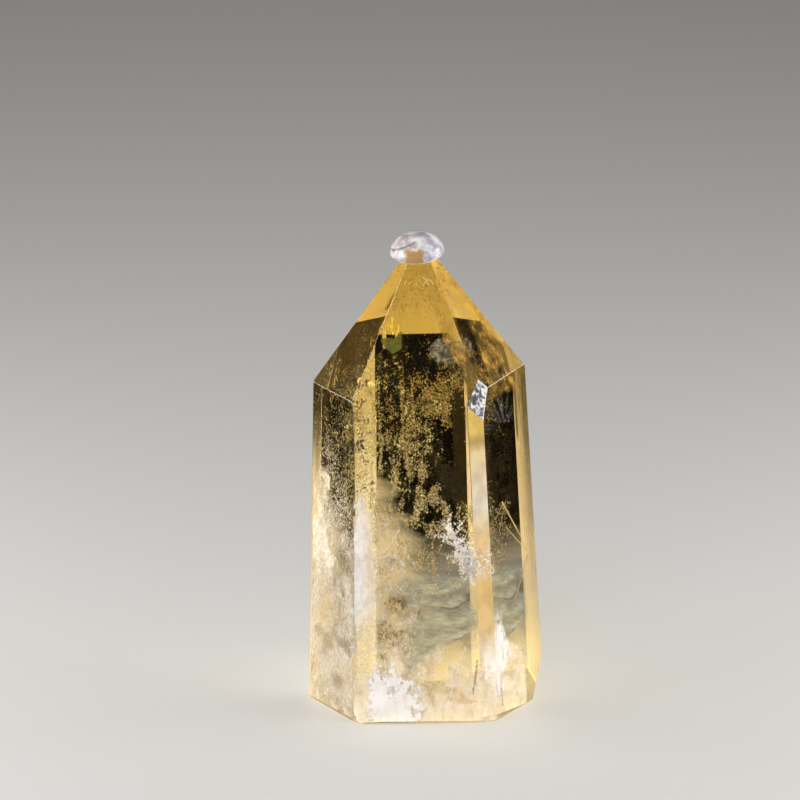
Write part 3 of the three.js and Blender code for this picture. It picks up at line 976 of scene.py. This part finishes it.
# bead: set resin, with the tan tip showing behind its front and one grey flow line across the dome
bead = {
    "ior": 1.5, "roughness": 0.06, "clear": 0.3, "cloudSize": (0.9, 0.9, 1.3),
    "milk": [(0.38, "#b6b4be"), (0.5, "#dcdae2"), (0.62, "#ffffff")],
    # the white of the painted highlight at the dome's edge, and how it is spread
    "rim": "#ffffff", "rimBlend": 0.35, "rimEdge": (0.55, 0.85),
    "tan": "#c9a26c", "tanMiddle": -1.35, "tanSway": 0.9, "tanWidth": (1.55, 1.25), "tanTop": (53.7, 53.2),
    "line": "#5e5b66", "lineSlope": -0.45, "lineHeight": 54.65, "lineWidth": (0.14, 0.04, 0.0, 0.7),
    "lineEnd": (-1.0, -1.3), "sharp": 35}


def milkyResin():
    # glossy and milky, with a painted white highlight where it is seen edge on
    material, tree = newMaterial("milky set resin")
    place = addNode(tree, "ShaderNodeSeparateXYZ", {}, {0: inMillimetres(tree)})
    cloud = addNode(tree, "ShaderNodeTexNoise", {"Scale": 1.0, "Detail": 3.0}, {
        "Vector": inMillimetres(tree, bead["cloudSize"])})
    tone = setStops(addNode(tree, "ShaderNodeValToRGB", {}, {0: cloud}), bead["milk"])

    tan = addNode(tree, "ShaderNodeMath", {"operation": "ADD", 1: -bead["tanMiddle"]}, {
        0: place.outputs["X"]})
    tan = addNode(tree, "ShaderNodeMath", {"operation": "ABSOLUTE"}, {0: tan})
    tan = addNode(tree, "ShaderNodeMath", {"operation": "MULTIPLY_ADD", 1: bead["tanSway"]}, {
        0: cloud, 2: tan})
    tan = addNode(tree, "ShaderNodeMapRange", fromTo(bead["tanWidth"]), {0: tan})
    top = addNode(tree, "ShaderNodeMapRange", fromTo(bead["tanTop"]), {0: place.outputs["Z"]})
    tan = addNode(tree, "ShaderNodeMath", {"operation": "MULTIPLY"}, {0: tan, 1: top})

    line = addNode(tree, "ShaderNodeMath", {"operation": "MULTIPLY_ADD", 1: bead["lineSlope"]}, {
        0: place.outputs["X"], 2: place.outputs["Z"]})
    line = addNode(tree, "ShaderNodeMath", {"operation": "SUBTRACT", 1: bead["lineHeight"]}, {0: line})
    line = addNode(tree, "ShaderNodeMath", {"operation": "ABSOLUTE"}, {0: line})
    line = addNode(tree, "ShaderNodeMapRange", fromTo(bead["lineWidth"]), {0: line})
    end = addNode(tree, "ShaderNodeMapRange", fromTo(bead["lineEnd"]), {0: place.outputs["X"]})
    line = addNode(tree, "ShaderNodeMath", {"operation": "MULTIPLY"}, {0: line, 1: end})

    # painted highlight: white laid over the dome where it is seen edge on
    rim = addNode(tree, "ShaderNodeLayerWeight", {"Blend": bead["rimBlend"]})
    rim = addNode(tree, "ShaderNodeMapRange", fromTo(bead["rimEdge"]), {0: rim.outputs["Facing"]})
    for share, colour in ((tan, bead["tan"]), (line, bead["line"]), (rim, bead["rim"])):
        tone = addNode(tree, "ShaderNodeMix", {"data_type": "RGBA", 7: toLinear(colour)}, {0: share, 6: tone})
    glass = addNode(tree, "ShaderNodeBsdfPrincipled", {
        "Roughness": bead["roughness"], "IOR": bead["ior"], "Transmission Weight": bead["clear"]}, {
        "Base Color": tone})
    addNode(tree, "ShaderNodeOutputMaterial", {}, {"Surface": passShadows(tree, glass)})
    return material


def beadPiece():
    form = bmesh.new()
    form.from_mesh(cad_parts["tip_bead"].data)
    bmesh.ops.remove_doubles(form, verts=form.verts, dist=1e-6)
    mesh = finishMesh("bead", form, smoothed=True)
    mesh.set_sharp_from_angle(angle=math.radians(bead["sharp"]))
    addPiece("bead", mesh, milkyResin(), "clear_resin", "tip_bead")


beadPiece()


# studio: a pale board, soft lights above, in front and at each side, and a dark sheet that only the
# crystal sees through its faces, as a dark card stands behind glass in a studio
studio = {
    "board": "#e2e0dc", "boardHalf": 2.0, "boardDrop": 0.00001,  # metres
    "card": "#0d0b07", "cardInside": 20, "cardOutside": 420, "cardShare": 0.35, "cardLift": 0.00002,
    "lights": {
        "overhead": {"place": (0, 60, 700), "target": (0, 40, 0), "size": (600, 600), "power": 1.15},
        "front": {"place": (-120, -400, 500), "target": (0, 0, 20), "size": (300, 240), "power": 1.6},
        "left side": {"place": (-190, -20, 60), "target": (0, 0, 25), "size": (180, 100), "power": 0.3},
        "right side": {"place": (190, -20, 60), "target": (0, 0, 25), "size": (180, 100), "power": 0.3}},
    "air": (0.05, 0.05, 0.052, 1), "bounces": 24, "glossyBounces": 16, "clearBounces": 32}


def makeFloor():
    form = bmesh.new()
    bmesh.ops.create_grid(form, x_segments=1, y_segments=1, size=studio["boardHalf"])
    mesh = finishMesh("floor", form)
    item = addObject("floor", mesh)
    item.location = (0, 0, -studio["boardDrop"])
    material, tree = newMaterial("pale board")
    board = addNode(tree, "ShaderNodeBsdfPrincipled", {
        "Base Color": toLinear(studio["board"]), "Roughness": 0.6})
    addNode(tree, "ShaderNodeOutputMaterial", {}, {"Surface": board})
    mesh.materials.append(material)
    print("floor laid")


def makeDarkCard():
    form = bmesh.new()
    bmesh.ops.create_circle(form, cap_ends=True, radius=studio["cardOutside"] * mm, segments=64)
    mesh = finishMesh("dark_card", form)
    item = addObject("dark_card", mesh)
    item.location = (0, 0, studio["cardLift"])
    material, tree = newMaterial("dark card")
    place = addNode(tree, "ShaderNodeTexCoord")
    length = addNode(tree, "ShaderNodeVectorMath", {"operation": "LENGTH"}, {0: place.outputs["Object"]})
    edge = studio["cardInside"] * mm
    ends = fromTo((edge * 0.85, edge * 1.15, studio["cardShare"], 1.0))
    share = addNode(tree, "ShaderNodeMapRange", ends, {0: length})
    gap = addNode(tree, "ShaderNodeBsdfTransparent")
    dark = addNode(tree, "ShaderNodeEmission", {"Color": toLinear(studio["card"]), "Strength": 1.0})
    mix = addNode(tree, "ShaderNodeMixShader", {}, {0: share, 1: gap, 2: dark})
    addNode(tree, "ShaderNodeOutputMaterial", {}, {"Surface": mix})
    mesh.materials.append(material)
    item.visible_camera = False
    item.visible_diffuse = False
    item.visible_shadow = False
    print("dark card laid")


def softLight(name, settings):
    data = bpy.data.lights.new(name, "AREA")
    data.shape = "RECTANGLE"
    data.size, data.size_y = (side * mm for side in settings["size"])
    data.energy = settings["power"]
    item = addObject(name, data)
    item.location = Vector(settings["place"]) * mm
    way = Vector(settings["target"]) * mm - item.location
    item.rotation_euler = way.to_track_quat("-Z", "Y").to_euler()
    item.visible_camera = False
    print(name, "light hung")


makeFloor()
makeDarkCard()
for lightName, light in studio["lights"].items():
    softLight(lightName, light)

scene = bpy.context.scene
scene.world = bpy.data.worlds.new("studio")
scene.world.use_nodes = True
air = scene.world.node_tree.nodes["Background"]
air.inputs["Color"].default_value = studio["air"]
air.inputs["Strength"].default_value = 1.0
scene.view_settings.view_transform = "Standard"
scene.cycles.max_bounces = studio["bounces"]
scene.cycles.glossy_bounces = studio["glossyBounces"]
scene.cycles.transmission_bounces = studio["bounces"]
scene.cycles.transparent_max_bounces = studio["clearBounces"]
print("studio ready")
